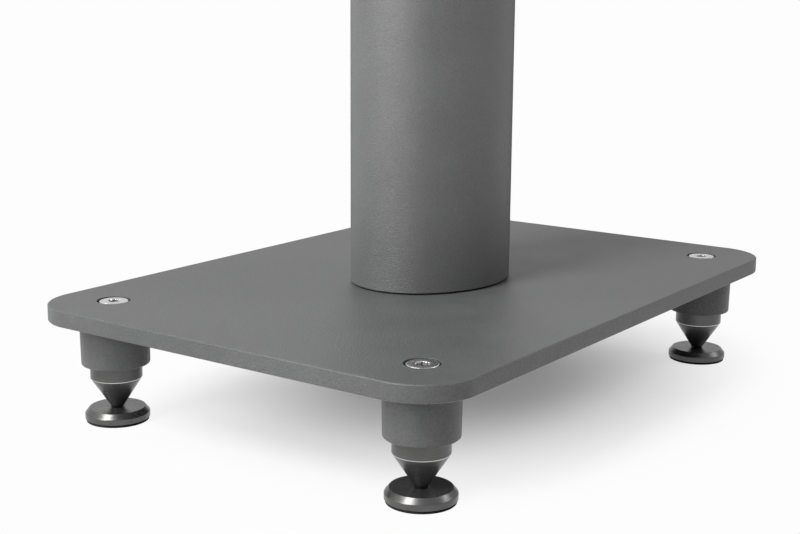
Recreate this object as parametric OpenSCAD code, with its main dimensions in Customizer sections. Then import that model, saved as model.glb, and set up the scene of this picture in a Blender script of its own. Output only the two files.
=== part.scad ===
// Speaker stand: base plate on four levelling spike feet, oval column, top plate.
// Millimetres. X is the width, Y the depth with the front at -Y, Z up from the floor.

/* [Base plate] */
// Width of the base plate, left to right
base_w = 238; // [200:1:300]
// Depth of the base plate, front to back
base_d = 335; // [280:1:420]
// Thickness of the base plate
base_t = 8; // [6:0.5:12]
// Radius of the base plate's corners
base_corner_r = 26; // [15:1:28]
// Bevel on the edges of both plates
plate_bevel = 0.6; // [0.3:0.1:1.5]

/* [Column] */
// Width of the oval column, left to right
column_w = 77; // [70:1:88]
// Depth of the oval column, front to back
column_d = 94; // [86:1:120]
// Radius of the oval's front and back ends
column_end_r = 33; // [30:0.5:36]
// Length of the column
column_len = 533; // [300:1:800]
// Wall thickness of the column
column_wall = 3; // [2:0.5:5]
// Outer radius of the screw ports inside the column
port_r = 7; // [6:0.5:8]
// Angle of the screw ports round the column's end arcs, from the X axis
port_angle = 45; // [44:1:70]
// Thickness of the gaskets at the column's ends
gasket_t = 0.8; // [0.5:0.1:2]
// Distance that the gaskets are set back from the column's face
gasket_setback = 0.9; // [0.5:0.1:1.5]
// Width of the gasket band
gasket_band = 2.4; // [1.5:0.1:2.4]

/* [Column screws] */
// Radius of the screws that hold the column
screw_r = 4; // [3:0.5:4]
// Length of these screws, head included
screw_len = 30; // [20:1:40]
// Radius of their countersunk heads
screw_head_r = 8; // [6.5:0.5:9]
// Width across the flats of their hexagon sockets
screw_key = 5; // [4:0.5:6]
// Depth of their hexagon sockets
screw_key_depth = 3; // [2:0.5:3.5]
// Depth of the screw heads below the face that they are driven from
screw_sink = 0.3; // [0.1:0.1:0.5]

/* [Top plate] */
// Width of the top plate, left to right
top_w = 170; // [150:1:230]
// Depth of the top plate, front to back
top_d = 240; // [220:1:300]
// Thickness of the top plate
top_t = 6; // [5:0.5:10]
// Radius of the top plate's corners
top_corner_r = 20; // [10:1:30]
// Spacing of the speaker bolt holes, left to right
bolt_space_x = 100; // [90:1:120]
// Spacing of the speaker bolt holes, front to back
bolt_space_y = 160; // [140:1:180]
// Radius of the speaker bolt holes
bolt_hole_r = 3.3; // [2.2:0.1:4.5]
// Radius of the speaker pads
pad_r = 10; // [6:0.5:12]
// Thickness of the speaker pads
pad_t = 2; // [1:0.5:4]
// Distance from the top plate's edges to the pads' centres
pad_inset = 20; // [14:1:24]

/* [Foot housings] */
// Distance from the base plate's left and right edges to the feet
foot_inset_x = 28.5; // [24:0.5:40]
// Distance from the base plate's front and back edges to the feet
foot_inset_y = 30.5; // [24:0.5:40]
// Height of the foot housings below the base plate
housing_h = 23; // [22:0.5:30]
// Radius of the housings at the base plate
housing_top_r = 16.75; // [16:0.25:20]
// Radius of the housings at their lower edge
housing_low_r = 16.4; // [15.5:0.1:20]
// Bevel on the housings' lower edge
housing_bevel = 0.6; // [0.3:0.1:1.2]
// Radius of the spigot that seats each housing in the base plate
spigot_r = 12; // [10.5:0.5:14]
// Height of the spigot
spigot_h = 3; // [2:0.5:4]

/* [Adjusters and spikes] */
// Levelling travel each way from the middle position
level_travel = 5; // [2:0.5:5]
// Radius of the adjusters' threaded shanks
shank_r = 5; // [4:0.5:5.5]
// Radius of the adjusters' heads
head_r = 7; // [6.8:0.1:7.4]
// Thickness of the adjusters' heads
head_t = 4.8; // [3.5:0.1:6]
// Depth of the heads below the base plate's top face, in the middle position
head_sink = 0.2; // [0.1:0.1:1.5]
// Bevel on the heads' upper edge
head_bevel = 0.4; // [0.2:0.1:0.8]
// Gap round the heads in the base plate
head_gap = 1; // [0.8:0.1:1.5]
// Radius to the outside of the six-lobe socket
lobe_outer_r = 3.1; // [2.6:0.1:3.6]
// Radius of each lobe of the socket
lobe_r = 0.75; // [0.6:0.05:0.9]
// Depth of the six-lobe socket
lobe_depth = 3; // [2:0.5:3.5]
// Outer radius of the threaded bushes
bush_r = 7.5; // [7:0.25:7.75]
// Length of the bushes above their flanges
bush_len = 7; // [5:0.5:8]
// Radius of the bushes' flanges
bush_flange_r = 10; // [9:0.5:11]
// Thickness of the bushes' flanges
bush_flange_t = 1.5; // [1:0.5:2]
// Radius of the spikes' collars
collar_r = 12.5; // [11.5:0.1:13.5]
// Length of collar that shows below the housing, in the middle position
collar_show = 7; // [6:0.5:12]
// Length that the shank is screwed into the spike
shank_grip = 11; // [8:0.5:12]
// Height of the spikes' cones
cone_h = 18; // [15:0.5:20]
// Radius of the flat at the spikes' tips
tip_r = 0.8; // [0.5:0.1:1]
// Bevel between the spikes' collars and cones
ridge_bevel = 0.4; // [0.2:0.1:0.8]

/* [Floor discs] */
// Radius of the floor discs
disc_r = 15.6; // [14:0.1:20]
// Thickness of the floor discs
disc_t = 5.2; // [5:0.1:8]
// Height of the chamfer round the discs' top faces
disc_chamfer_h = 2.5; // [1:0.1:3]
// Width of that chamfer
disc_chamfer_w = 2.1; // [1:0.1:3]
// Radius of the dimple's mouth in the discs' top faces
dimple_r = 3.4; // [3.2:0.1:5]
// Radius of the flat at the dimple's bottom
dimple_floor_r = 1.3; // [1.2:0.1:2]
// Depth of the dimple
dimple_depth = 3; // [2:0.5:3.5]
// Thickness of the pads under the discs
disc_pad_t = 1.3; // [0.5:0.1:2]
// Distance that the pads are set back from the discs' edges
disc_pad_setback = 0.5; // [0.4:0.1:2]

/* [Clearances] */
// Radial clearance of screws, shanks and spigots in their holes
fit_gap = 0.05; // [0.02:0.01:0.09]
// Radial clearance of the spikes' collars in the housings
collar_gap = 0.3; // [0.2:0.05:0.6]
// Radial clearance of screws where they pass through the plates
pass_gap = 0.4; // [0.2:0.1:0.8]
// Gap left at both ends of the levelling travel
stop_gap = 0.3; // [0.1:0.1:0.6]

/* [Hidden] */
$fn = 96;

FEET = [["front_left", -1, -1], ["front_right", 1, -1], ["back_left", -1, 1], ["back_right", 1, 1]];
foot_x = base_w / 2 - foot_inset_x;
foot_y = base_d / 2 - foot_inset_y;

// Levels above the floor, from the floor pads up to the top plate
disc_z = disc_pad_t;
disc_top = disc_z + disc_t;
tip_z = disc_top - dimple_depth;
ridge_z = tip_z + cone_h;
housing_z = ridge_z + collar_show;
base_z = housing_z + housing_h;
base_top = base_z + base_t;
column_z = base_top + gasket_t;
column_top = column_z + column_len;
top_z = column_top + gasket_t;
top_top = top_z + top_t;

// Levels inside a foot, from the adjuster's head down to the spike
head_top = base_top - head_sink;
head_z = head_top - head_t;
bush_top = head_z - level_travel - stop_gap;
bush_z = bush_top - bush_len;
flange_z = bush_z - bush_flange_t;
collar_top = flange_z - level_travel - stop_gap;
shank_z = collar_top - shank_grip;

head_hole_r = head_r + head_gap;
cut = 1;

// Height by which a tight arc stands out over the flatter side that it runs into, so that they cross cleanly
arc_lap = 0.02;

// The oval: centres of the end arcs at +-oval_end_y, of the side arcs at +-oval_side_x
oval_end_y = column_d / 2 - column_end_r;
oval_rise = column_w / 2 - column_end_r + arc_lap;
oval_side_x = (oval_end_y * oval_end_y - oval_rise * oval_rise) / (2 * oval_rise);
oval_side_r = column_w / 2 + oval_side_x;

// Screw ports: circles sunk half a wall into the inner face of the column's ends
port_reach = column_end_r - column_wall / 2 - port_r;
port_x = port_reach * cos(port_angle);
port_y = oval_end_y + port_reach * sin(port_angle);

paint = [0.40, 0.41, 0.41];
gunmetal = [0.25, 0.25, 0.26];
steel = [0.75, 0.76, 0.77];
black = [0.08, 0.08, 0.08];
brass = [0.80, 0.65, 0.35];

// A copy of the children at each of four mirrored places
module four(x, y) {
    for (sx = [-1, 1], sy = [-1, 1])
        translate([sx * x, sy * y, 0])
            children();
}

module at_foot(foot) {
    translate([foot[1] * foot_x, foot[2] * foot_y, 0])
        children();
}

// Solid of revolution from a list of [radius, height] points
module turned(points) {
    rotate_extrude()
        polygon(points);
}

// Plate with rounded corners and bevelled edges: two crossed bars and a disc in each corner
module plate(w, d, t, r, bevel) {
    rotate([90, 0, 0])
        linear_extrude(d - 2 * r, center = true)
            plate_section(w - 2 * arc_lap, t, bevel);
    rotate([90, 0, 90])
        linear_extrude(w - 2 * r, center = true)
            plate_section(d - 2 * arc_lap, t, bevel);
    four(w / 2 - r, d / 2 - r)
        turned([[0, 0], [r - bevel, 0], [r, bevel], [r, t - bevel], [r - bevel, t], [0, t]]);
}

module plate_section(w, t, bevel) {
    side = w / 2;
    polygon([
        [bevel - side, 0], [side - bevel, 0], [side, bevel], [side, t - bevel],
        [side - bevel, t], [bevel - side, t], [-side, t - bevel], [-side, bevel]
    ]);
}

// Outline of the column, set back by inset: an arc at each end and a flatter arc on each side
module oval(inset = 0) {
    end_r = column_end_r - inset;
    side_r = oval_side_r - inset;
    meet_y = oval_end_y * (1 + end_r / norm([oval_end_y, oval_side_x]));
    for (s = [-1, 1])
        translate([0, s * oval_end_y])
            circle(r = end_r);
    intersection() {
        square([2 * column_w, 2 * meet_y], center = true);
        translate([oval_side_x, 0])
            circle(r = side_r);
        translate([-oval_side_x, 0])
            circle(r = side_r);
    }
}

// Room for a countersunk screw that is driven upwards from z = 0
module screw_hole(t) {
    hole_r = screw_r + pass_gap;
    turned([
        [0, -cut],
        [screw_head_r, -cut],
        [screw_head_r, screw_sink],
        [hole_r, screw_sink + screw_head_r - hole_r],
        [hole_r, t + cut],
        [0, t + cut]
    ]);
}

// Countersunk screw with a hexagon socket, driven upwards from z = 0
module column_screw() {
    translate([0, 0, screw_sink])
        difference() {
            turned([
                [0, 0],
                [screw_head_r, 0],
                [screw_r, screw_head_r - screw_r],
                [screw_r, screw_len],
                [0, screw_len]
            ]);
            translate([0, 0, -cut])
                cylinder(h = cut + screw_key_depth, r = screw_key / 2 / cos(30), $fn = 6);
        }
}

// Hole for an adjuster's head, wider below for the spigot of its foot housing
module foot_hole() {
    turned([
        [0, -cut],
        [spigot_r + fit_gap, -cut],
        [spigot_r + fit_gap, spigot_h],
        [head_hole_r, spigot_h],
        [head_hole_r, base_t + cut],
        [0, base_t + cut]
    ]);
}

module base_plate() {
    color(paint)
        translate([0, 0, base_z])
            difference() {
                plate(base_w, base_d, base_t, base_corner_r, plate_bevel);
                four(foot_x, foot_y)
                    foot_hole();
                four(port_x, port_y)
                    screw_hole(base_t);
            }
}

module column() {
    color(paint)
        translate([0, 0, column_z])
            linear_extrude(column_len)
                difference() {
                    oval();
                    difference() {
                        oval(column_wall);
                        four(port_x, port_y)
                            circle(r = port_r);
                    }
                    four(port_x, port_y)
                        circle(r = screw_r + fit_gap);
                }
}

module column_gasket() {
    color(black)
        linear_extrude(gasket_t)
            difference() {
                oval(gasket_setback);
                oval(gasket_setback + gasket_band);
            }
}

module column_base_gasket() {
    translate([0, 0, base_top])
        column_gasket();
}

module column_top_gasket() {
    translate([0, 0, column_top])
        column_gasket();
}

module top_plate() {
    color(paint)
        translate([0, 0, top_z])
            difference() {
                plate(top_w, top_d, top_t, top_corner_r, plate_bevel);
                translate([0, 0, top_t])
                    mirror([0, 0, 1])
                        four(port_x, port_y)
                            screw_hole(top_t);
                translate([0, 0, -cut])
                    four(bolt_space_x / 2, bolt_space_y / 2)
                        cylinder(h = top_t + 2 * cut, r = bolt_hole_r);
            }
}

module base_screws() {
    color(steel)
        translate([0, 0, base_z])
            four(port_x, port_y)
                column_screw();
}

module top_screws() {
    color(steel)
        translate([0, 0, top_top])
            mirror([0, 0, 1])
                four(port_x, port_y)
                    column_screw();
}

module speaker_pads() {
    color(black)
        translate([0, 0, top_top])
            four(top_w / 2 - pad_inset, top_d / 2 - pad_inset)
                cylinder(h = pad_t, r = pad_r);
}

// Tapered housing with a spigot on top, the bush's bore and the collar's recess
module foot_housing() {
    color(paint)
        turned([
            [collar_r + collar_gap, housing_z],
            [housing_low_r - housing_bevel, housing_z],
            [housing_low_r, housing_z + housing_bevel],
            [housing_top_r, base_z],
            [spigot_r, base_z],
            [spigot_r, base_z + spigot_h],
            [head_hole_r, base_z + spigot_h],
            [head_hole_r, bush_top],
            [bush_r + fit_gap, bush_top],
            [bush_r + fit_gap, bush_z],
            [collar_r + collar_gap, bush_z]
        ]);
}

module thread_bush() {
    color(brass)
        turned([
            [shank_r + fit_gap, flange_z],
            [bush_flange_r, flange_z],
            [bush_flange_r, bush_z],
            [bush_r, bush_z],
            [bush_r, bush_top],
            [shank_r + fit_gap, bush_top]
        ]);
}

// Six-lobe socket, open at z = 0 and cut downwards
module lobe_socket() {
    translate([0, 0, -lobe_depth])
        linear_extrude(lobe_depth + cut) {
            circle(r = lobe_outer_r - lobe_r);
            for (turn = [0:60:300])
                rotate(turn)
                    translate([lobe_outer_r - lobe_r, 0])
                        circle(r = lobe_r);
        }
}

// Head and shank in one piece, turned from above
module adjuster() {
    color(steel)
        difference() {
            turned([
                [0, shank_z],
                [shank_r, shank_z],
                [shank_r, head_z],
                [head_r, head_z],
                [head_r, head_top - head_bevel],
                [head_r - head_bevel, head_top],
                [0, head_top]
            ]);
            translate([0, 0, head_top])
                lobe_socket();
        }
}

// Collar and cone, with the blind hole that the shank is screwed into
module spike() {
    color(gunmetal)
        turned([
            [0, tip_z],
            [tip_r, tip_z],
            [collar_r - ridge_bevel, ridge_z],
            [collar_r, ridge_z + ridge_bevel],
            [collar_r, collar_top - ridge_bevel],
            [collar_r - ridge_bevel, collar_top],
            [shank_r + fit_gap, collar_top],
            [shank_r + fit_gap, shank_z],
            [0, shank_z]
        ]);
}

module floor_disc() {
    color(gunmetal)
        turned([
            [0, disc_z],
            [disc_r, disc_z],
            [disc_r, disc_top - disc_chamfer_h],
            [disc_r - disc_chamfer_w, disc_top],
            [dimple_r, disc_top],
            [dimple_floor_r, tip_z],
            [0, tip_z]
        ]);
}

module disc_pad() {
    color(black)
        cylinder(h = disc_pad_t, r = disc_r - disc_pad_setback);
}

base_plate();
column();
column_base_gasket();
column_top_gasket();
top_plate();
base_screws();
top_screws();
speaker_pads();
for (foot = FEET) {
    at_foot(foot) foot_housing();
    at_foot(foot) thread_bush();
    at_foot(foot) adjuster();
    at_foot(foot) spike();
    at_foot(foot) floor_disc();
    at_foot(foot) disc_pad();
}
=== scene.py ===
"""Speaker stand on four levelling spike feet: pieces, finishes and studio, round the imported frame."""

import math

import bmesh
import bpy
from bpy.props import FloatProperty, FloatVectorProperty, PointerProperty
from bpy.types import Operator, Panel, PropertyGroup
from mathutils import Matrix, Vector


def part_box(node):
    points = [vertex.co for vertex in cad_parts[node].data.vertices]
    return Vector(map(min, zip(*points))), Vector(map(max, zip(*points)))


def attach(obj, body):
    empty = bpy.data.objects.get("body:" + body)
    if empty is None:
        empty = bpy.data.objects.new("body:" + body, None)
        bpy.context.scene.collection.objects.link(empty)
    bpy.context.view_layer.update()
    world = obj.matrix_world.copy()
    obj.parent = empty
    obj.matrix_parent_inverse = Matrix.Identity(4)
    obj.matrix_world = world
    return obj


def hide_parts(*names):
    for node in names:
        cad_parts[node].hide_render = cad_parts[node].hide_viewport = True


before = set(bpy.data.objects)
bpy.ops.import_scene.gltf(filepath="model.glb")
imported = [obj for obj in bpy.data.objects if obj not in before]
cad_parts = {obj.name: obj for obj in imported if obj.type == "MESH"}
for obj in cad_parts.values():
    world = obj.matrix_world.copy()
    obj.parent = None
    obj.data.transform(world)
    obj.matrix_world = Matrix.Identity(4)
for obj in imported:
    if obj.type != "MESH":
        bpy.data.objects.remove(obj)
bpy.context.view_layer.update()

bl_info = {
    "name": "Speaker Stand",
    "version": (1, 0, 0),
    "blender": (4, 5, 0),
    "location": "View3D > Sidebar > Stand",
    "description": "Builds a speaker stand's plates, column, spike feet, finishes and studio",
    "category": "Add Mesh",
}

FEET = ("front_left", "front_right", "back_left", "back_right")
# Width of the picture in pixels, and of the camera's sensor in millimetres
PHOTO_WIDTH = 800
SENSOR_WIDTH = 36.0
# Steps round most circles, round the turned pieces that mirror the studio, round small circles, round the
# column's oval, and round one corner of a plate
ROUND = 96
FINE_ROUND = 128
SMALL_ROUND = 48
OVAL_ROUND = 224
CORNER_STEPS = 24
# Steps of a rounding on a turned piece
BEVEL_STEPS = 3
# Points of a 45 degree chamfer with eased corners, as shares of its size
EASED_CHAMFER = ((1.0, 0.0), (0.72, 0.1), (0.1, 0.72), (0.0, 1.0))
# Distance under which two points are one
SAME_PLACE = 1e-7
SECTION_UV = "section"
# Width of the flat ring round each hole and along each edge, which keeps a face level up to its rounding
FLAT_RING = 0.001
# Height of a unit normal from which a face counts as level and is shaded flat
LEVEL = 0.99999
# Distance by which two loops are held apart while they are joined
LOOP_GAP = 0.01
# Radial clearance of the close fits
FIT_GAP = 0.00005
# Ranges in which the values of a noise texture mostly lie, and in which the smudges come and go
NOISE_RANGE = (0.3, 0.7)
SMUDGE_RANGE = (0.35, 0.65)
# Darkest and lightest shade of each kind of surface, as shares of its colour
PAINT_SHADES = (0.80, 1.20)
TURNED_SHADES = (0.92, 1.05)
GRAINED_SHADES = (0.88, 1.0)
RUBBER_SHADES = (1.0, 1.6)
# Share of the paint's two shades by which its specks differ from the clouds
PAINT_SPECKS = (-0.6, 0.6)
# Distances by which clouds, smudges, rings and grain carry the roughness to either side
CLOUD_STRAY = 0.02
SMUDGE_STRAY = 0.03
RING_STRAY = 0.04
GRAIN_STRAY = 0.05
# Size of the clouds in paint, of those in other grained surfaces as a multiple of their grain, and of the
# grain as a share of the specks
PAINT_CLOUDS = 0.03
CLOUDS_TO_GRAIN = 12
GRAIN_TO_SPECKS = 0.45
# Heights of the grain on bare metal and on rubber, and the size of the rubber's
METAL_DEPTH = 0.000004
RUBBER_DEPTH = 0.00003
RUBBER_GRAIN = 0.0005
RUBBER_GLOSS = 0.15
RUBBER_ROUGHNESS = (0.7, 0.85)
# Powers of Layer Weight's Facing by which the added roughness comes in
PLATE_RIM_POWER = 11.0
COLUMN_RIM_POWER = 4.0
# Each lamp's name, degrees to the left of the front, degrees of height, size in metres, and power setting
LAMPS = (
    ("Key lamp", 10, 45, 0.6, "key_power"),
    ("Front lamp", 12, 22, 0.6, "front_power"),
    ("Edge lamp", 58, 50, 0.4, "edge_power"),
    ("Back lamp", -132, 38, 0.6, "back_power"),
)
LAMP_DISTANCE = 1.8
LAMP_AIM = (0.0, 0.0, 0.15)
# Direction of the side of the surroundings that gloss shows brightest
BRIGHT_SIDE = (-1.0, 0.0, 0.0)
# Nearest and farthest distance that the camera shows
CLIP_RANGE = (0.01, 100.0)
# Half width of the studio's floor, and its number of squares along each side
FLOOR_REACH = 8.0
FLOOR_SQUARES = 8


# Sizes and colours that a user would change

def length(name, description, default):
    """A size in metres."""
    return FloatProperty(name=name, description=description, default=default, min=0.0, precision=5,
                         subtype="DISTANCE", unit="LENGTH")


def colour(name, description, default):
    """A linear colour."""
    return FloatVectorProperty(name=name, description=description, default=default, size=3,
                               min=0.0, max=1.0, subtype="COLOR")


def share(name, description, default, high=1.0):
    """A plain number from 0 up."""
    return FloatProperty(name=name, description=description, default=default, min=0.0, max=high,
                         subtype="FACTOR" if high == 1.0 else "NONE")


def power(name, description, default):
    """A lamp's power in watts."""
    return FloatProperty(name=name, description=description, default=default, min=0.0, unit="POWER")


def angle(name, description, degrees):
    """An angle, whose default is in degrees."""
    return FloatProperty(name=name, description=description, default=math.radians(degrees),
                         subtype="ANGLE", unit="ROTATION")


def vector(name, description, default):
    """A place or a size in metres along each axis."""
    return FloatVectorProperty(name=name, description=description, default=default, size=3,
                               subtype="XYZ", unit="LENGTH")


class StandPlates(PropertyGroup):
    """Sizes of the base plate and the top plate"""

    base_corner: length("Base corner", "Radius of the base plate's corners", 0.026)
    top_corner: length("Top corner", "Radius of the top plate's corners", 0.020)
    edge: length("Edge", "Rounding of both plates' edges", 0.0006)
    hole_edge: length("Hole edge", "Rounding at the mouths of the holes", 0.00025)
    head_hole: length("Head hole", "Radius of the adjusters' holes", 0.0080)
    spigot_hole: length("Spigot hole", "Radius of the foot housings' recesses", 0.01205)
    spigot_depth: length("Spigot depth", "Depth of the foot housings' recesses", 0.003)
    bolt_hole: length("Bolt hole", "Radius of the speaker bolt holes", 0.0033)
    bolt_x: length("Bolts across", "Spacing of the bolt holes, left to right", 0.100)
    bolt_y: length("Bolts along", "Spacing of the bolt holes, front to back", 0.160)
    pad: length("Pad", "Radius of the speaker pads", 0.010)
    pad_edge: length("Pad edge", "Rounding of the speaker pads", 0.0005)


class StandColumn(PropertyGroup):
    """Sizes of the oval column and its screws"""

    end_radius: length("End radius", "Radius of the oval's front and back ends", 0.033)
    wall: length("Wall", "Thickness of the column's wall", 0.003)
    edge: length("Edge", "Rounding of the column's cut ends", 0.0003)
    port: length("Port", "Radius of the screw ports", 0.007)
    screw_shank: length("Screw shank", "Radius of the column screws", 0.004)
    screw_head: length("Screw head", "Radius of the column screws' heads", 0.008)
    screw_pass: length("Screw hole", "Radius of the column screws' holes", 0.0044)
    screw_sink: length("Screw sink", "Depth of the screw heads below the plates' faces", 0.0003)
    screw_key: length("Screw key", "Width across the flats of the hexagon sockets", 0.005)
    screw_key_depth: length("Key depth", "Depth of the hexagon sockets", 0.003)
    screw_edge: length("Screw edge", "Bevel on the column screws' edges", 0.0002)


class StandFoot(PropertyGroup):
    """Sizes of one levelling foot"""

    housing_low: length("Housing lower radius", "Radius of the housing at its lower edge", 0.0164)
    housing_edge: length("Housing edge", "Rounding of the housing's lower edge", 0.0007)
    housing_bore: length("Housing bore", "Radius of the recess round the spike's collar", 0.0128)
    recess_edge: length("Recess edge", "Rounding at the mouth of that recess", 0.0003)
    bush_bore: length("Bush bore", "Radius of the bore for the threaded bush", 0.00755)
    bush_flange: length("Bush flange", "Thickness of the threaded bush's flange", 0.0015)
    shank: length("Shank", "Radius of the adjuster's threaded shank", 0.005)
    head_thickness: length("Head thickness", "Thickness of the adjuster's head", 0.0048)
    head_edge: length("Head edge", "Rounding of the adjuster's head", 0.0005)
    head_under: length("Head under edge", "Rounding below the adjuster's head", 0.0002)
    lobe_reach: length("Lobe reach", "Radius to the outside of the six-lobe socket", 0.0031)
    lobe: length("Lobe", "Radius of each lobe of the socket", 0.00075)
    lobe_edge: length("Lobe edge", "Bevel round the six-lobe socket", 0.00025)
    lobe_depth: length("Lobe depth", "Depth of the six-lobe socket", 0.003)
    lobe_point: length("Lobe point", "Depth of the drill point below the socket", 0.0005)
    lobe_point_radius: length("Lobe point radius", "Radius of that drill point's floor", 0.0006)
    cone: length("Cone", "Height of the spike's cone", 0.018)
    tip: length("Tip", "Radius of the spike's blunt tip", 0.0008)
    tip_edge: length("Tip edge", "Rounding round the spike's tip", 0.0003)
    ridge: length("Ridge", "Length of the bright rounding between collar and cone", 0.00018)
    collar_edge: length("Collar edge", "Rounding of the collar's upper edge", 0.0004)
    chamfer_height: length("Chamfer height", "Height of the floor disc's chamfer", 0.0025)
    chamfer_width: length("Chamfer width", "Width of the floor disc's chamfer", 0.0021)
    dimple: length("Dimple", "Radius of the dimple in the floor disc", 0.0034)
    dimple_floor: length("Dimple floor", "Radius of the dimple's bottom", 0.0013)
    dimple_depth: length("Dimple depth", "Depth of the dimple", 0.003)
    dimple_edge: length("Dimple edge", "Rounding of the dimple's rim", 0.0002)
    disc_edge: length("Disc edge", "Rounding of the floor disc's edges", 0.00025)
    pad_edge: length("Pad edge", "Rounding of the rubber pads", 0.0002)


class StandFinish(PropertyGroup):
    """Colours and surface detail"""

    plate_paint: colour("Plate paint", "Powder coat of the plates and housings", (0.0890, 0.0903, 0.0903))
    column_paint: colour("Column paint", "Powder coat of the column", (0.0930, 0.0944, 0.0944))
    gunmetal: colour("Gunmetal", "Dark satin steel of the spikes and floor discs", (0.110, 0.108, 0.107))
    steel: colour("Steel", "Satin stainless steel of the screws", (0.62, 0.62, 0.62))
    brass: colour("Brass", "Brass of the threaded bushes", (0.72, 0.53, 0.26))
    rubber: colour("Rubber", "Black rubber of the pads and gaskets", (0.012, 0.012, 0.0125))
    plate_roughness: share("Plate roughness", "Roughness of the plates' powder coat", 0.42)
    column_roughness: share("Column roughness", "Roughness of the column's powder coat", 0.42)
    gunmetal_roughness: share("Gunmetal roughness", "Roughness of the dark satin steel", 0.30)
    steel_roughness: share("Steel roughness", "Roughness of the levelling screws' steel", 0.27)
    plate_rim: share("Plate rim", "Roughness added where the plates turn away", 0.6)
    column_rim: share("Column rim", "Roughness added where the column turns away", 0.6)
    plate_gloss: share("Plate gloss", "Strength of reflections on the plates' powder coat", 0.45)
    column_gloss: share("Column gloss", "Strength of reflections on the column's powder coat", 0.9)
    plate_grain: length("Plate grain", "Size of the grain on plates and feet", 0.0009)
    plate_depth: length("Plate grain depth", "Height of the grain on plates and feet", 0.00028)
    column_grain: length("Column grain", "Size of the grain on the column", 0.0006)
    column_depth: length("Column grain depth", "Height of the grain on the column", 0.0003)
    turning: length("Turning", "Pitch of the lathe's fine lines", 0.00022)


class StandStudio(PropertyGroup):
    """Camera, lamps and floor"""

    camera_place: vector("Camera", "Place of the camera", (0.40312, -0.58738, 0.21643))
    yaw: angle("Yaw", "Turn of the view to the left of +Y", 35.7476)
    pitch: angle("Pitch", "Tilt of the view below the horizon", 12.0619)
    roll: angle("Roll", "Roll of the view, clockwise", 0.3731)
    focal: FloatProperty(name="Focal length", description="Focal length in pixels of the picture",
                         default=1398.37, min=1.0)
    key_power: power("Key", "Power of the lamp high at the front", 26.2)
    front_power: power("Front", "Power of the low lamp at the front", 17.6)
    edge_power: power("Edge", "Power of the small lamp at the left", 5.0)
    back_power: power("Back", "Power of the lamp behind, at the right", 6.0)
    fill: share("Fill", "Brightness of the surroundings for matt surfaces", 0.12, 4.0)
    gloss_left: share("Gloss left", "Share of the background in gloss at the left", 0.95)
    gloss_right: share("Gloss right", "Share of the background in gloss at the right", 0.5)
    white: share("White", "Brightness of the background", 0.982)
    floor_colour: colour("Floor", "Colour of the floor", (0.90, 0.90, 0.90))
    glow: share("Glow", "Share of plain background in the floor under the stand", 0.21)
    shade_centre: vector("Shade centre", "Middle of the oval with the shade", (0.008, 0.021, 0.0))
    shade_size: vector("Shade size", "Half width and half depth of that oval", (0.104, 0.147, 1.0))
    shade_near: share("Shade from", "Share of the oval where the floor starts to turn plain", 0.24, 4.0)
    shade_far: share("Shade to", "Share of the oval where the floor has turned plain", 1.59, 4.0)


# Building blocks

def settings():
    """The stand's settings, as they are in the scene."""
    return bpy.context.scene.speaker_stand


def centre_of(node):
    """Middle of a node's box, as seen from above."""
    low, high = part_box(node)
    return Vector(((low.x + high.x) / 2, (low.y + high.y) / 2, 0.0))


def span_of(node):
    """Lowest and highest z of a round node, and its radius."""
    low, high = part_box(node)
    return low.z, high.z, (high.x - low.x) / 2


def places_in(node, radius):
    """Centres of four round shapes of this radius that fill a node's box."""
    low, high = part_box(node)
    return [(x, y) for x in (low.x + radius, high.x - radius) for y in (low.y + radius, high.y - radius)]


def circle(bm, radius, z, centre=(0.0, 0.0), segments=ROUND):
    """The edges of a circle."""
    place = Matrix.Translation((centre[0], centre[1], z))
    verts = bmesh.ops.create_circle(bm, segments=segments, radius=radius, matrix=place)["verts"]
    return list({edge for vert in verts for edge in vert.link_edges})


def rounded_rectangle(bm, width, depth, corner, z):
    """The edges of a rectangle with round corners, centred on the Z axis."""
    known = set(bm.edges)
    verts = bmesh.ops.create_grid(bm, x_segments=1, y_segments=1, size=0.5)["verts"]
    bmesh.ops.scale(bm, vec=(width, depth, 1.0), verts=verts)
    bmesh.ops.translate(bm, vec=(0.0, 0.0, z), verts=verts)
    bmesh.ops.bevel(bm, geom=verts, offset=corner, segments=CORNER_STEPS, profile=0.5,
                    affect="VERTICES", material=-1)
    edges = [edge for edge in bm.edges if edge not in known]
    bmesh.ops.delete(bm, geom=[edges[0].link_faces[0]], context="FACES_ONLY")
    return edges


def join_loops(bm, loops, closed=False):
    """Faces between each loop of edges and the next one.
    The next one is moved away meanwhile, because two loops at one height can join the wrong way round."""
    after = loops[1:] + loops[:1] if closed else loops[1:]
    for first, second in zip(loops, after):
        heights = {vert: vert.co.z for edge in second for vert in edge.verts}
        away = -LOOP_GAP if second[0].verts[0].co.z < first[0].verts[0].co.z else LOOP_GAP
        for vert, height in heights.items():
            vert.co.z = height + away
        bmesh.ops.bridge_loops(bm, edges=first + second)
        for vert, height in heights.items():
            vert.co.z = height


def fill(bm, loop):
    """A flat face inside a loop of edges."""
    return bmesh.ops.contextual_create(bm, geom=loop)["faces"]


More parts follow.
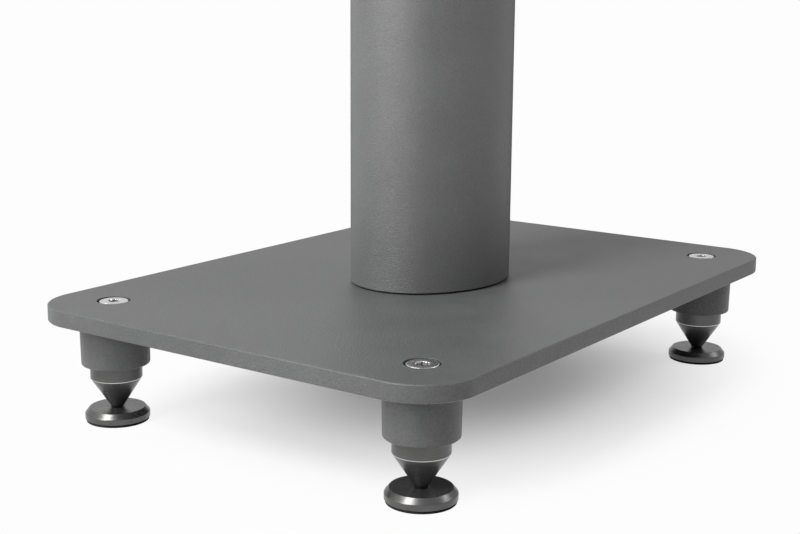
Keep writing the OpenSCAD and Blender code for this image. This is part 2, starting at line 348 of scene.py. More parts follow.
def pierced_face(bm, rim, holes):
    """A level face inside the rim, round some holes, each with its centre, its radius and its loop of edges.
    It is cut into rectangles, so that each hole lies alone in a square of its own."""
    cells = fill(bm, rim)
    for centre, radius, _ in holes:
        for axis, side in ((0, -1), (0, 1), (1, -1), (1, 1)):
            across = Vector((1 - axis, axis, 0))
            place = Vector((*centre, rim[0].verts[0].co.z)) + across * side * (radius + FLAT_RING)
            parts = cells + list({part for cell in cells for part in (*cell.edges, *cell.verts)})
            cut = bmesh.ops.bisect_plane(bm, geom=parts, dist=SAME_PLACE, plane_co=place, plane_no=across)
            cells = [part for part in cut["geom"] if isinstance(part, bmesh.types.BMFace)]
    for centre, radius, loop in holes:
        square = min(cells, key=lambda cell: (cell.calc_center_median().to_2d() - Vector(centre)).length)
        cells.remove(square)
        sides = list(square.edges)
        bmesh.ops.delete(bm, geom=[square], context="FACES_ONLY")
        known = set(bm.edges)
        bmesh.ops.subdivide_edges(bm, edges=sides, cuts=ROUND // 4 - 1)
        sides += [edge for edge in bm.edges if edge not in known]
        join_loops(bm, [[edge for edge in sides if edge.is_boundary], loop])


def quarter(radius, steps=4):
    """Points of a rounding: how far in from the side, and how far down from the face."""
    turns = [math.pi / 2 * k / steps for k in range(steps + 1)]
    return [(radius * (1 - math.sin(turn)), radius * (1 - math.cos(turn))) for turn in turns]


def chamfer(size):
    """Points of a chamfer, as quarter gives them."""
    return [(size * inset, size * down) for inset, down in EASED_CHAMFER]


def eased_side(low, high, edge):
    """[inset, z] points down a side, whose upper and lower edges are eased alike."""
    upper = [(inset, high - down) for inset, down in edge]
    return upper + [(inset, low + up) for inset, up in reversed(edge)]


def turned(points, rounding, segments=ROUND, closed=False):
    """A skin turned on the Z axis from a line of [radius, height] points, some of its corners rounded."""
    bm = bmesh.new()
    verts = [bm.verts.new((radius, 0.0, height)) for radius, height in points]
    for first, second in zip(verts, verts[1:] + verts[:1] if closed else verts[1:]):
        bm.edges.new((first, second))
    for index, size in rounding.items():
        bmesh.ops.bevel(bm, geom=[verts[index]], offset=size, segments=BEVEL_STEPS, profile=0.5,
                        affect="VERTICES", material=-1)
    bmesh.ops.spin(bm, geom=bm.verts[:] + bm.edges[:], cent=(0, 0, 0), axis=(0, 0, 1), dvec=(0, 0, 0),
                   angle=2 * math.pi, steps=segments, use_merge=True, use_duplicate=False)
    bmesh.ops.remove_doubles(bm, verts=bm.verts, dist=SAME_PLACE)
    bmesh.ops.dissolve_degenerate(bm, edges=bm.edges, dist=SAME_PLACE)
    return bm


def new_object(name, data):
    """A new object in the scene."""
    made = bpy.data.objects.new(name, data)
    bpy.context.scene.collection.objects.link(made)
    return made


def mesh_object(name, bm):
    """A new mesh object made from a bmesh, which is freed."""
    mesh = bpy.data.meshes.new(name)
    bm.to_mesh(mesh)
    bm.free()
    return new_object(name, mesh)


def record_section(bm, centre):
    """Keeps each point's distance from the turning axis and its height as a UV map, for the lathe's lines."""
    layer = bm.loops.layers.uv.new(SECTION_UV)
    for face in bm.faces:
        for loop in face.loops:
            place = loop.vert.co - centre
            loop[layer].uv = (place.to_2d().length, place.z)


def make_piece(name, bm, material, body, nodes, centre=None):
    """Turns a bmesh into a finished piece that rides on a body and stands for some nodes.
    A piece that was turned on the Z axis has a centre to be moved to."""
    bmesh.ops.remove_doubles(bm, verts=bm.verts, dist=SAME_PLACE)
    bmesh.ops.recalc_face_normals(bm, faces=bm.faces)
    loose = sum(edge.is_boundary or edge.is_wire for edge in bm.edges)
    if loose or not bm.faces:
        bm.free()
        raise RuntimeError(f"{name} isn't a closed solid: {loose} open edges")
    if centre is not None:
        bmesh.ops.translate(bm, vec=centre, verts=bm.verts)
        record_section(bm, centre)
    for face in bm.faces:
        face.smooth = abs(face.normal.z) < LEVEL
    piece = mesh_object(name, bm)
    piece.data.materials.append(material)
    even = piece.modifiers.new("Even shading", "WEIGHTED_NORMAL")
    even.mode = "FACE_AREA"
    even.weight = 100
    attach(piece, body)
    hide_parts(*nodes)
    return piece


def dress(node, material):
    """Gives a node of the frame its material."""
    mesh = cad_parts[node].data
    mesh.materials.clear()
    mesh.materials.append(material)


# Materials

def feed(tree, socket, value):
    """Gives an input a value or the output of another node."""
    if isinstance(value, bpy.types.NodeSocket):
        tree.links.new(value, socket)
    else:
        socket.default_value = value


def add(tree, kind, *first, **named):
    """A node with its first inputs, and others and settings by name, filled in."""
    node = tree.nodes.new(kind)
    for name, value in named.items():
        if name in node.inputs:
            feed(tree, node.inputs[name], value)
        else:
            setattr(node, name, value)
    for socket, value in zip(node.inputs, first):
        feed(tree, socket, value)
    return node


def math_node(tree, operation, first, second, clamp=False):
    """The result of a math node on two values or outputs."""
    return add(tree, "ShaderNodeMath", first, second, operation=operation, use_clamp=clamp).outputs[0]


def object_place(tree):
    """A point's place in the object's own space."""
    return add(tree, "ShaderNodeTexCoord").outputs["Object"]


def noise(tree, place, size, detail, roughness):
    """The values of a noise texture whose marks have the size that an output gives."""
    node = add(tree, "ShaderNodeTexNoise", Vector=place, Detail=detail, Roughness=roughness,
               Scale=math_node(tree, "DIVIDE", 1.0, size))
    return node.outputs[0]


def shared_group(name, build, inputs, outputs):
    """The node group of this name. The first time, build gives its outputs from its inputs."""
    if name not in bpy.data.node_groups:
        tree = bpy.data.node_groups.new(name, "ShaderNodeTree")
        for title, default in inputs.items():
            socket = tree.interface.new_socket(title, in_out="INPUT", socket_type="NodeSocketFloat")
            socket.default_value = default
        for title in outputs:
            tree.interface.new_socket(title, in_out="OUTPUT", socket_type="NodeSocketFloat")
        given = tree.nodes.new("NodeGroupInput").outputs
        add(tree, "NodeGroupOutput", *build(tree, *[given[title] for title in inputs]))
    return bpy.data.node_groups[name]


def powder_pattern(tree, grain_size, cloud_size):
    """A fine pebbled grain, broad clouds where the coat lies thicker, and coarser specks."""
    place = object_place(tree)
    speck_size = math_node(tree, "DIVIDE", grain_size, GRAIN_TO_SPECKS)
    return (noise(tree, place, grain_size, detail=3.0, roughness=0.6),
            noise(tree, place, cloud_size, detail=2.0, roughness=0.5),
            noise(tree, place, speck_size, detail=1.0, roughness=0.5))


def powder_coat(tree, grain_size, cloud_size):
    """Grain, clouds and specks of the powder coat."""
    group = shared_group("Powder coat", powder_pattern, {"Grain size": 0.0007, "Cloud size": PAINT_CLOUDS},
                         ("Grain", "Cloud", "Speck"))
    return add(tree, "ShaderNodeGroup", grain_size, cloud_size, node_tree=group).outputs


def lathe_pattern(tree, pitch, smudge_size):
    """Fine rings at changing distances from the axis, and faint smudges from handling."""
    section = add(tree, "ShaderNodeUVMap", uv_map=SECTION_UV).outputs["UV"]
    return (noise(tree, section, pitch, detail=4.0, roughness=0.7),
            noise(tree, object_place(tree), smudge_size, detail=3.0, roughness=0.55))


def turned_lines(tree, pitch):
    """Rings and smudges of turned metal."""
    group = shared_group("Turned metal", lathe_pattern, {"Pitch": 0.00022, "Smudge size": 0.008},
                         ("Rings", "Smudge"))
    return add(tree, "ShaderNodeGroup", pitch, node_tree=group).outputs


def spread(tree, value, after, before=NOISE_RANGE, **kind):
    """A value moved from one range to another, and held within it."""
    node = add(tree, "ShaderNodeMapRange", Value=value, **kind)
    for title, number in zip(("From Min", "From Max", "To Min", "To Max"), (*before, *after)):
        node.inputs[title].default_value = number
    return node.outputs["Result"]


def tinted(tree, factor, tint, shades):
    """A colour between a tint's first shade and its second, by a factor."""
    node = add(tree, "ShaderNodeMix", data_type="RGBA", Factor=factor)
    ends = [socket for socket in node.inputs if socket.type == "RGBA"]
    for end, shade in zip(ends, shades):
        end.default_value = (*[channel * shade for channel in tint], 1.0)
    return next(socket for socket in node.outputs if socket.type == "RGBA")


def bump(tree, height, distance):
    """The normal of a relief of this height."""
    return add(tree, "ShaderNodeBump", Height=height, Strength=1.0, Distance=distance).outputs[0]


def blank_tree(block):
    """The emptied node tree of a new material or world."""
    block.use_nodes = True
    block.node_tree.nodes.clear()
    return block.node_tree


def shared_material(name, build, *values, **named):
    """The material of this name. The first time, build gives its Principled shader's inputs."""
    if name not in bpy.data.materials:
        tree = blank_tree(bpy.data.materials.new(name))
        shader = add(tree, "ShaderNodeBsdfPrincipled", **build(tree, *values, **named))
        add(tree, "ShaderNodeOutputMaterial", shader.outputs[0])
    return bpy.data.materials[name]


def powder_paint(tree, tint, roughness, gloss, rim, grain_size, depth, rim_power):
    """Satin powder coat with a fine grain, whose roughness grows by rim where it turns away from the eye."""
    grain, cloud, _ = powder_coat(tree, grain_size, PAINT_CLOUDS)
    clouds, specks = spread(tree, cloud, NOISE_RANGE), spread(tree, grain, PAINT_SPECKS)
    shade = math_node(tree, "ADD", clouds, specks, clamp=True)
    aslant = math_node(tree, "POWER", add(tree, "ShaderNodeLayerWeight").outputs["Facing"], rim_power)
    rough = spread(tree, cloud, (roughness - CLOUD_STRAY, roughness + CLOUD_STRAY))
    rough = math_node(tree, "ADD", rough, math_node(tree, "MULTIPLY", aslant, rim))
    return {"Base Color": tinted(tree, shade, tint, PAINT_SHADES), "Roughness": rough,
            "Specular IOR Level": gloss, "Normal": bump(tree, grain, depth)}


def turned_metal(tree, tint, roughness, metallic, depth):
    """Metal turned on a lathe, with fine rings and faint smudges."""
    rings, smudge = turned_lines(tree, settings().finish.turning)
    smudge = spread(tree, smudge, (0.0, 1.0), SMUDGE_RANGE)
    rough = spread(tree, smudge, (roughness + SMUDGE_STRAY, roughness - SMUDGE_STRAY), (0.0, 1.0))
    rough = math_node(tree, "ADD", rough, spread(tree, rings, (-RING_STRAY, RING_STRAY)))
    return {"Base Color": tinted(tree, smudge, tint, TURNED_SHADES), "Roughness": rough, "Metallic": metallic,
            "Normal": bump(tree, rings, depth)}


def grained_metal(tree, tint, roughness, grain_size, metallic=1.0):
    """Metal with a fine even grain and faint clouds of tarnish."""
    grain, cloud, _ = powder_coat(tree, grain_size, grain_size * CLOUDS_TO_GRAIN)
    tarnish = spread(tree, cloud, (0.0, 1.0))
    return {"Base Color": tinted(tree, tarnish, tint, GRAINED_SHADES), "Metallic": metallic,
            "Roughness": spread(tree, grain, (roughness - GRAIN_STRAY, roughness + GRAIN_STRAY)),
            "Normal": bump(tree, grain, METAL_DEPTH)}


def bloomed_rubber(tree, tint):
    """Matt rubber with a faint bloom."""
    grain, cloud, speck = powder_coat(tree, RUBBER_GRAIN, RUBBER_GRAIN * CLOUDS_TO_GRAIN)
    bloom = spread(tree, cloud, (0.0, 1.0))
    return {"Base Color": tinted(tree, bloom, tint, RUBBER_SHADES), "Specular IOR Level": RUBBER_GLOSS,
            "Roughness": spread(tree, speck, RUBBER_ROUGHNESS), "Normal": bump(tree, grain, RUBBER_DEPTH)}


def painted(name, part, rim_power):
    """The paint of a part, from the settings whose names start with the part's."""
    keys = ("paint", "roughness", "gloss", "rim", "grain", "depth")
    values = [getattr(settings().finish, f"{part}_{key}") for key in keys]
    return shared_material(name, powder_paint, *values, rim_power=rim_power)


def plate_paint():
    """The paint of the plates and the foot housings."""
    return painted("Plate powder coat", "plate", PLATE_RIM_POWER)


def column_paint():
    """The paint of the column."""
    return painted("Column powder coat", "column", COLUMN_RIM_POWER)


def gunmetal():
    """Dark steel under a thin oxide, which sheds a little light of its own."""
    finish = settings().finish
    return shared_material("Turned gunmetal", turned_metal, finish.gunmetal, finish.gunmetal_roughness,
                           metallic=0.8, depth=0.000004)


def satin_steel():
    """The levelling screws' turned steel."""
    finish = settings().finish
    return shared_material("Satin steel", turned_metal, finish.steel, finish.steel_roughness,
                           metallic=1.0, depth=0.000003)


def forged_steel():
    """The darker and rougher metal inside the sockets, as the punch leaves it."""
    tint = [channel * 0.4 for channel in settings().finish.steel]
    return shared_material("Forged steel", grained_metal, tint,
                           roughness=0.5, grain_size=0.0003, metallic=0.5)


def plain_steel():
    """Satin steel of the small screws, which have no turning lines that show."""
    return shared_material("Plain steel", grained_metal, settings().finish.steel,
                           roughness=0.28, grain_size=0.0004)


def brass():
    """The threaded bushes' brass."""
    return shared_material("Machined brass", grained_metal, settings().finish.brass,
                           roughness=0.30, grain_size=0.0004)


def rubber():
    """Black rubber of the pads and the gaskets."""
    return shared_material("Black rubber", bloomed_rubber, settings().finish.rubber)


# Pieces

def plate_piece(name, node, corner, holes):
    """A plate with round corners, bevelled edges and stepped holes, which stands for a node.
    Each hole is a centre and its [radius, z] points from the top face down."""
    plates = settings().plates
    low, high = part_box(node)
    width, depth = high.x - low.x, high.y - low.y
    bm = bmesh.new()
    flat = plates.edge + FLAT_RING
    steps = [(flat, high.z), *eased_side(low.z, high.z, chamfer(plates.edge)), (flat, low.z)]
    rims = [rounded_rectangle(bm, width - 2 * inset, depth - 2 * inset, corner - inset, z)
            for inset, z in steps]
    join_loops(bm, rims)
    mouths, floors = [], []
    for centre, points in holes:
        top_reach, low_reach = points[0][0] + FLAT_RING, points[-1][0] + FLAT_RING
        steps = [(top_reach, high.z), *points, (low_reach, low.z)]
        loops = [circle(bm, radius, z, centre) for radius, z in steps]
        join_loops(bm, loops)
        mouths.append((centre, top_reach, loops[0]))
        floors.append((centre, low_reach, loops[-1]))
    pierced_face(bm, rims[0], mouths)
    pierced_face(bm, rims[-1], floors)
    make_piece(name, bm, plate_paint(), "stand", [node])


def screw_places(node):
    """Where the four column screws are, from the box of their heads."""
    return places_in(node, settings().column.screw_head)


def screw_hole(face_z, inward, far_z):
    """Points of a countersunk hole, from the face that the screw is driven from."""
    column = settings().column
    sink = face_z + inward * column.screw_sink
    seat = sink + inward * (column.screw_head - column.screw_pass)
    return [(column.screw_head, face_z), (column.screw_head, sink), (column.screw_pass, seat),
            (column.screw_pass, far_z)]


class STAND_OT_base_plate(Operator):
    """Build the base plate, with its holes for the adjusters and the column screws"""

    bl_idname = "stand.base_plate"
    bl_label = "Base plate"

    def execute(self, context):
        plates = settings().plates
        low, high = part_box("base_plate")
        step = low.z + plates.spigot_depth
        head_hole = [(plates.head_hole + inset, high.z - down) for inset, down in quarter(plates.hole_edge)]
        head_hole += [(plates.head_hole, step), (plates.spigot_hole, step), (plates.spigot_hole, low.z)]
        holes = [(centre_of("spike_" + foot).to_2d(), head_hole) for foot in FEET]
        driven = list(reversed(screw_hole(low.z, 1.0, high.z)))
        holes += [(place, driven) for place in screw_places("base_screws")]
        plate_piece("plate_of_base", "base_plate", plates.base_corner, holes)
        return {"FINISHED"}


class STAND_OT_top_plate(Operator):
    """Build the top plate, with its holes for the speaker bolts and the column screws"""

    bl_idname = "stand.top_plate"
    bl_label = "Top plate"

    def execute(self, context):
        plates = settings().plates
        low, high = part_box("top_plate")
        side = eased_side(low.z, high.z, quarter(plates.hole_edge))
        bolt_hole = [(plates.bolt_hole + inset, z) for inset, z in side]
        bolt_x, bolt_y = plates.bolt_x / 2, plates.bolt_y / 2
        holes = [((x, y), bolt_hole) for x in (-bolt_x, bolt_x) for y in (-bolt_y, bolt_y)]
        driven = screw_hole(high.z, -1.0, low.z)
        holes += [(place, driven) for place in screw_places("top_screws")]
        plate_piece("plate_of_top", "top_plate", plates.top_corner, holes)
        return {"FINISHED"}


def oval_loop(bm, half_width, half_depth, end_radius, inset, z):
    """The edges of an oval of four arcs that meet smoothly, set back by inset."""
    end_y = half_depth - end_radius
    rise = half_width - end_radius
    side_x = (end_y * end_y - rise * rise) / (2 * rise)
    side_radius = half_width + side_x
    edges = circle(bm, 1.0, z, segments=OVAL_ROUND)
    for vert in {vert for edge in edges for vert in edge.verts}:
        outward = vert.co.to_2d().normalized()
        if abs(outward.x) * end_y < abs(outward.y) * side_x:
            vert.co.xy = outward * (end_radius - inset)
            vert.co.y += math.copysign(end_y, outward.y)
        else:
            vert.co.xy = outward * (side_radius - inset)
            vert.co.x -= math.copysign(side_x, outward.x)
    return edges


class STAND_OT_column(Operator):
    """Build the hollow oval column, with its screw ports"""

    bl_idname = "stand.column"
    bl_label = "Column"

    def execute(self, context):
        column = settings().column
        low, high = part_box("column")
        bm = bmesh.new()
        steps = eased_side(low.z, high.z, quarter(column.edge, 2))
        steps += [(column.wall, low.z), (column.wall, high.z)]
        loops = [oval_loop(bm, high.x, high.y, column.end_radius, inset, z) for inset, z in steps]
        join_loops(bm, loops, closed=True)
        for place in screw_places("base_screws"):
            ends = (low.z + column.edge, high.z - column.edge)
            rings = [circle(bm, column.port, z, place, SMALL_ROUND) for z in ends]
            bore = column.screw_shank + FIT_GAP
            rings += [circle(bm, bore, z, place, SMALL_ROUND) for z in reversed(ends)]
            join_loops(bm, rings, closed=True)
        make_piece("tube_of_column", bm, column_paint(), "stand", ["column"])
        return {"FINISHED"}


def hexagon(bm, across, z, centre):
    """The edges of a hexagon, each side cut into short ones."""
    known = set(bm.edges)
    edges = circle(bm, across / 2 / math.cos(math.radians(30)), z, centre, segments=6)
    bmesh.ops.subdivide_edges(bm, edges=edges, cuts=SMALL_ROUND // 6 - 1)
    return [edge for edge in bm.edges if edge not in known]


def column_screw(bm, face_z, inward, centre):
    """Adds one countersunk screw, driven from face_z."""
    column = settings().column
    top = face_z + inward * column.screw_sink
    low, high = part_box("base_screws")
    tip = top + inward * (high.z - low.z)
    head, reach = column.screw_head, column.screw_shank
    seat = top + inward * (head - reach)
    rim = column.screw_edge
    shank = [(head - rim, top), (head, top + inward * rim), (reach, seat), (reach, tip - inward * rim),
             (reach - 2 * rim, tip)]
    loops = [circle(bm, radius, z, centre, SMALL_ROUND) for radius, z in shank]
    key = column.screw_key
    floor = top + inward * column.screw_key_depth
    socket = [hexagon(bm, key + 2 * rim, top, centre), hexagon(bm, key, top + inward * rim, centre),
              hexagon(bm, key, floor, centre)]
    join_loops(bm, [loops[-1]] + loops[-2::-1] + socket)
    fill(bm, loops[-1])
    fill(bm, socket[-1])


class STAND_OT_column_screws(Operator):
    """Build the countersunk screws that hold the column to both plates"""

    bl_idname = "stand.column_screws"
    bl_label = "Column screws"

    def execute(self, context):
        for name, node, face, inward in (
                ("screws_of_base", "base_screws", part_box("base_plate")[0].z, 1.0),
                ("screws_of_top", "top_screws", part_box("top_plate")[1].z, -1.0)):
            bm = bmesh.new()
            for place in screw_places(node):
                column_screw(bm, face, inward, place)
            make_piece(name, bm, plain_steel(), "stand", [node])
        return {"FINISHED"}


class STAND_OT_foot_housings(Operator):
    """Build the four tapered foot housings"""

    bl_idname = "stand.foot_housings"
    bl_label = "Foot housings"

    def execute(self, context):
        foot, plates = settings().foot, settings().plates
        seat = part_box("base_plate")[0].z
        spigot = plates.spigot_hole - FIT_GAP
        for place in FEET:
            node = "foot_housing_" + place
            low, high, radius = span_of(node)
            bush_low, bush_high, _ = span_of("thread_bush_" + place)
            flange = bush_low + foot.bush_flange
            bm = turned([
                (foot.housing_bore, low), (foot.housing_low, low), (radius, seat), (spigot, seat),
                (spigot, high), (plates.head_hole, high), (plates.head_hole, bush_high),
                (foot.bush_bore, bush_high), (foot.bush_bore, flange), (foot.housing_bore, flange),
            ], {0: foot.recess_edge, 1: foot.housing_edge}, closed=True)
            make_piece("housing_" + place, bm, plate_paint(), "stand", [node],
                       centre_of(node))
        return {"FINISHED"}


def lobed_loop(bm, reach, lobe, z):
    """The edges of a six-lobe outline."""
    core = reach - lobe
    sixth = math.radians(60)
    edges = circle(bm, 1.0, z)
    for vert in {vert for edge in edges for vert in edge.verts}:
        outward = vert.co.to_2d().normalized()
        bearing = math.atan2(outward.y, outward.x)
        offset = bearing - round(bearing / sixth) * sixth
        inside = lobe ** 2 - (core * math.sin(offset)) ** 2
        radius = core * math.cos(offset) + math.sqrt(inside) if inside > 0 else core
        vert.co.xy = outward * max(radius, core)
    return edges


class STAND_OT_adjusters(Operator):
    """Build the four levelling screws, with their six-lobe sockets"""

    bl_idname = "stand.adjusters"
    bl_label = "Adjusters"

    def execute(self, context):
        foot = settings().foot
        for place in FEET:
            node = "adjuster_" + place
            low, high, head = span_of(node)
            under = high - foot.head_thickness
            rim = foot.lobe_edge
            floor = high - foot.lobe_depth
            bm = turned([
                (0.0, low), (foot.shank, low), (foot.shank, under), (head, under), (head, high),
                (foot.lobe_reach + FLAT_RING, high),
            ], {3: foot.head_under, 4: foot.head_edge})
            mouth = [edge for edge in bm.edges if edge.is_boundary]
            socket = [lobed_loop(bm, foot.lobe_reach + rim, foot.lobe + rim, high),
                      lobed_loop(bm, foot.lobe_reach, foot.lobe, high - rim),
                      lobed_loop(bm, foot.lobe_reach, foot.lobe, floor),
                      circle(bm, foot.lobe_point_radius, floor - foot.lobe_point)]
            join_loops(bm, [mouth] + socket)
            fill(bm, socket[-1])
            for face in bm.faces:
                middle = face.calc_center_median()
                inside = middle.to_2d().length < foot.lobe_reach and floor - rim < middle.z < high - rim
                face.material_index = 1 if inside else 0
            piece = make_piece("levelling_screw_" + place, bm, satin_steel(), "spike_" + place,
                               [node], centre_of(node))
            piece.data.materials.append(forged_steel())
        return {"FINISHED"}


class STAND_OT_spikes(Operator):
    """Build the four spikes, each with a thin bright line where its cone starts"""

    bl_idname = "stand.spikes"
    bl_label = "Spikes"

    def execute(self, context):
        foot = settings().foot
        for place in FEET:
            node = "spike_" + place
            low, high, collar = span_of(node)
            ridge = low + foot.cone
            shank_low = span_of("adjuster_" + place)[0]
            bore = foot.shank + FIT_GAP
            bm = turned([
                (0.0, low), (foot.tip, low), (collar, ridge), (collar, high), (bore, high), (bore, shank_low),
                (0.0, shank_low),
            ], {1: foot.tip_edge, 2: foot.ridge, 3: foot.collar_edge}, FINE_ROUND)
            for face in bm.faces:
                face.material_index = 1 if abs(face.calc_center_median().z - ridge) < foot.ridge else 0
            piece = make_piece("cone_spike_" + place, bm, gunmetal(), node, [node],
                               centre_of(node))
            piece.data.materials.append(satin_steel())
        return {"FINISHED"}


class STAND_OT_floor_discs(Operator):
    """Build the four floor discs and the rubber pads under them"""

    bl_idname = "stand.floor_discs"
    bl_label = "Floor discs"

    def execute(self, context):
        foot = settings().foot
        for place in FEET:
            body, node, pad = "disc_" + place, "floor_disc_" + place, "disc_pad_" + place
            low, high, radius = span_of(node)
            dent = high - foot.dimple_depth
            bm = turned([
                (0.0, low), (radius, low), (radius, high - foot.chamfer_height),
                (radius - foot.chamfer_width, high), (foot.dimple, high), (foot.dimple_floor, dent),
                (0.0, dent),
            ], {1: foot.disc_edge, 2: foot.disc_edge, 3: foot.disc_edge, 4: foot.dimple_edge}, FINE_ROUND)
            make_piece("disc_" + place, bm, gunmetal(), body, [node], centre_of(node))
            low, high, radius = span_of(pad)
            bm = turned([(0.0, low), (radius, low), (radius, high), (0.0, high)], {1: foot.pad_edge})
            make_piece("rubber_foot_" + place, bm, rubber(), body, [pad], centre_of(pad))
        return {"FINISHED"}


class STAND_OT_speaker_pads(Operator):
    """Build the four rubber pads that the speaker rests on"""

    bl_idname = "stand.speaker_pads"
    bl_label = "Speaker pads"

    def execute(self, context):
        plates = settings().plates
        low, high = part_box("speaker_pads")
        radius = plates.pad
        bm = bmesh.new()
        for place in places_in("speaker_pads", radius):
            steps = [(radius - inset, high.z - down) for inset, down in quarter(plates.pad_edge)]
            loops = [circle(bm, reach, z, place) for reach, z in steps + [(radius, low.z)]]
            join_loops(bm, loops)
            fill(bm, loops[0])
            fill(bm, loops[-1])
        make_piece("rubber_rests", bm, rubber(), "stand", ["speaker_pads"])
        return {"FINISHED"}


class STAND_OT_inner_parts(Operator):
    """Give the gaskets and the threaded bushes their materials"""

    bl_idname = "stand.inner_parts"
    bl_label = "Gaskets and bushes"

    def execute(self, context):
        for node in ("column_base_gasket", "column_top_gasket"):
            dress(node, rubber())
        for place in FEET:
            dress("thread_bush_" + place, brass())
        return {"FINISHED"}


# Studio

def seen_directly(tree, in_gloss=1.0):
    """1 where the camera or a glass sees a surface, in_gloss where a gloss does, and 0 for light it sheds."""
    light_path = add(tree, "ShaderNodeLightPath").outputs
    gloss = math_node(tree, "MULTIPLY", light_path["Is Glossy Ray"], in_gloss)
    either = math_node(tree, "MAXIMUM", light_path["Is Camera Ray"], gloss)
    return math_node(tree, "MAXIMUM", either, light_path["Is Transmission Ray"])


def floor_material(studio):
    """Pale floor that keeps the stand's shadow in an oval and turns to plain background round it."""
    material = bpy.data.materials.new("Studio floor")
    tree = blank_tree(material)
    matt = add(tree, "ShaderNodeBsdfDiffuse", Color=(*studio.floor_colour, 1.0))
    plain = add(tree, "ShaderNodeEmission", Strength=studio.white)
    place = object_place(tree)
    for operation, value in (("SUBTRACT", studio.shade_centre), ("DIVIDE", studio.shade_size)):
        place = add(tree, "ShaderNodeVectorMath", place, value, operation=operation).outputs["Vector"]
    out = add(tree, "ShaderNodeVectorMath", place, operation="LENGTH").outputs["Value"]
    plainness = spread(tree, out, (studio.glow, 1.0), (studio.shade_near, studio.shade_far),
                       interpolation_type="SMOOTHSTEP")
    factor = math_node(tree, "MULTIPLY", plainness, seen_directly(tree))
    mix = add(tree, "ShaderNodeMixShader", factor, matt.outputs[0], plain.outputs[0])
    add(tree, "ShaderNodeOutputMaterial", mix.outputs[0])
    return material


def build_world(studio):
    """Surroundings: white where they are seen, shaded towards one side in gloss, dim as a source of light."""
    world = bpy.data.worlds.new("Studio surroundings")
    tree = blank_tree(world)
    side = add(tree, "ShaderNodeVectorMath", object_place(tree), BRIGHT_SIDE, operation="DOT_PRODUCT")
    in_gloss = spread(tree, side.outputs["Value"], (studio.gloss_right, studio.gloss_left), (-1.0, 1.0))
    strength = spread(tree, seen_directly(tree, in_gloss), (studio.fill, studio.white), (0.0, 1.0))
    sky = add(tree, "ShaderNodeBackground", Color=(1.0, 1.0, 1.0, 1.0), Strength=strength)
    add(tree, "ShaderNodeOutputWorld", sky.outputs[0])
    bpy.context.scene.world = world


def area_lamp(name, bearing, height, size, watts):
    """A square soft lamp that points at the stand, from a bearing and a height in degrees."""
    bearing, height = math.radians(bearing), math.radians(height)
    level = math.cos(height)
    away = Vector((-math.sin(bearing) * level, -math.cos(bearing) * level, math.sin(height)))
    lamp = bpy.data.lights.new(name, "AREA")
    lamp.shape = "SQUARE"
    lamp.size = size
    lamp.energy = watts
    holder = new_object(name, lamp)
    holder.visible_camera = False
    holder.location = Vector(LAMP_AIM) + away * LAMP_DISTANCE
    holder.rotation_euler = away.to_track_quat("Z", "Y").to_euler()


def build_camera(studio):
    """The camera at the picture's viewing angle."""
    ahead = Vector((-math.cos(studio.pitch) * math.sin(studio.yaw),
                    math.cos(studio.pitch) * math.cos(studio.yaw), -math.sin(studio.pitch)))
    right = ahead.cross(Vector((0, 0, 1))).normalized()
    up = right.cross(ahead)
    turned_right = right * math.cos(studio.roll) + up * math.sin(studio.roll)
    turned_up = up * math.cos(studio.roll) - right * math.sin(studio.roll)
    lens = bpy.data.cameras.new("Picture camera")
    lens.sensor_width = SENSOR_WIDTH
    lens.lens = studio.focal * SENSOR_WIDTH / PHOTO_WIDTH
    lens.clip_start, lens.clip_end = CLIP_RANGE
    camera = new_object("Picture camera", lens)
    axes = Matrix((turned_right, turned_up, -ahead)).transposed().to_4x4()
    camera.matrix_world = Matrix.Translation(studio.camera_place) @ axes
    bpy.context.scene.camera = camera


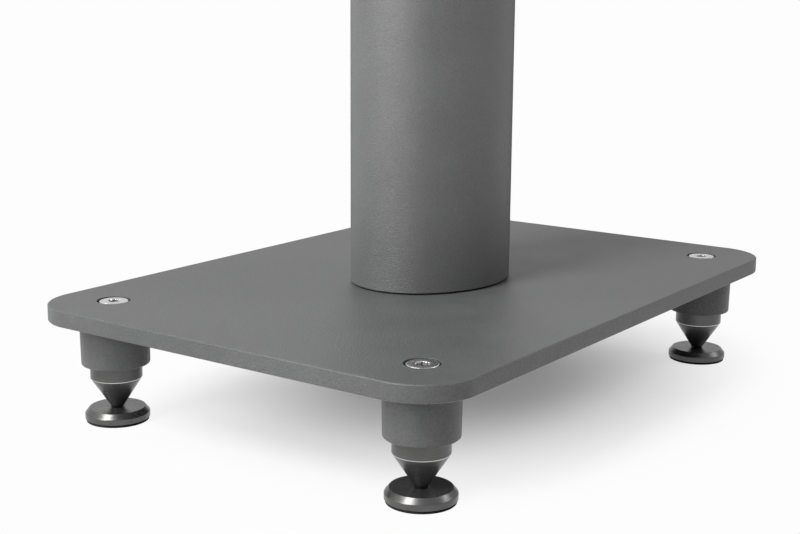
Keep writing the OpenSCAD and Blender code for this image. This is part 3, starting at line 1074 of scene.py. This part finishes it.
class STAND_OT_studio(Operator):
    """Build the floor, the lamps, the surroundings and the camera"""

    bl_idname = "stand.studio"
    bl_label = "Studio"

    def execute(self, context):
        studio = settings().studio
        bm = bmesh.new()
        bmesh.ops.create_grid(bm, x_segments=FLOOR_SQUARES, y_segments=FLOOR_SQUARES, size=FLOOR_REACH)
        floor = mesh_object("studio_floor", bm)
        floor.data.materials.append(floor_material(studio))
        build_world(studio)
        for name, bearing, height, size, setting in LAMPS:
            area_lamp(name, bearing, height, size, getattr(studio, setting))
        build_camera(studio)
        context.scene.view_settings.view_transform = "Standard"
        return {"FINISHED"}


# Add-on

class SpeakerStand(PropertyGroup):
    """All settings of the stand"""

    plates: PointerProperty(type=StandPlates, name="Plates", description="Sizes of the plates")
    column: PointerProperty(type=StandColumn, name="Column", description="Sizes of the column")
    foot: PointerProperty(type=StandFoot, name="Foot", description="Sizes of the feet")
    finish: PointerProperty(type=StandFinish, name="Finish", description="Colours and surface detail")
    studio: PointerProperty(type=StandStudio, name="Studio", description="Camera, lamps and floor")


OPERATORS = (
    STAND_OT_base_plate, STAND_OT_column, STAND_OT_top_plate, STAND_OT_column_screws, STAND_OT_foot_housings,
    STAND_OT_adjusters, STAND_OT_spikes, STAND_OT_floor_discs, STAND_OT_speaker_pads, STAND_OT_inner_parts,
    STAND_OT_studio,
)


class STAND_PT_panel(Panel):
    """Lists the stand's pieces and settings"""

    bl_idname = "STAND_PT_panel"
    bl_label = "Speaker Stand"
    bl_space_type = "VIEW_3D"
    bl_region_type = "UI"
    bl_category = "Stand"

    def draw(self, context):
        column = self.layout.column()
        for operator in OPERATORS:
            column.operator(operator.bl_idname)
        stand = context.scene.speaker_stand
        for group in (stand.plates, stand.column, stand.foot, stand.finish, stand.studio):
            box = column.box()
            for name in group.__annotations__:
                box.prop(group, name)


CLASSES = (
    StandPlates, StandColumn, StandFoot, StandFinish, StandStudio, SpeakerStand, *OPERATORS, STAND_PT_panel,
)


def register():
    for cls in CLASSES:
        bpy.utils.register_class(cls)
    bpy.types.Scene.speaker_stand = PointerProperty(type=SpeakerStand)


def unregister():
    del bpy.types.Scene.speaker_stand
    for cls in reversed(CLASSES):
        bpy.utils.unregister_class(cls)


def main():
    """Builds every piece and the studio."""
    register()
    for operator in OPERATORS:
        group, name = operator.bl_idname.split(".")
        getattr(getattr(bpy.ops, group), name)()


if __name__ == "__main__":
    main()
